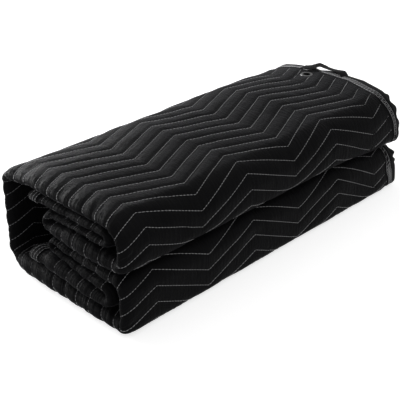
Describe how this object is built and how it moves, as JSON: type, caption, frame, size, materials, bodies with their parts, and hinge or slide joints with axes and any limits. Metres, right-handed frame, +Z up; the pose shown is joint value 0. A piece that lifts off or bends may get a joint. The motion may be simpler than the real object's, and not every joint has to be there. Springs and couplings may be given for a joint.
{
  "type": "moving blanket",
  "caption": "Padded moving blanket with raised zigzag quilting, folded back and forth into a thick bundle, with bound edges, a metal grommet and a hanging loop.",
  "frame": {"origin": "on the flat underside, midway between the round fold and the bound edges and midway across the bundle", "axes": "+X from the round fold to the bound edges, +Y from the front folds to the back wall, +Z up from the surface it lies on"},
  "size_m": [0.6965, 0.2995, 0.1964],
  "materials": {
    "quilted_cloth": "black woven cover, quilted over padding",
    "binding_tape": "black woven tape",
    "grommet_metal": "plated, satin"
  },
  "bodies": {
    "root": {"quilted_panel": "quilted_cloth", "binding_end_outer": "binding_tape", "binding_end_inner": "binding_tape", "binding_side_upper": "binding_tape", "binding_side_lower": "binding_tape", "grommet": "grommet_metal", "edge_loop": "binding_tape"}
  },
  "joints": []
}
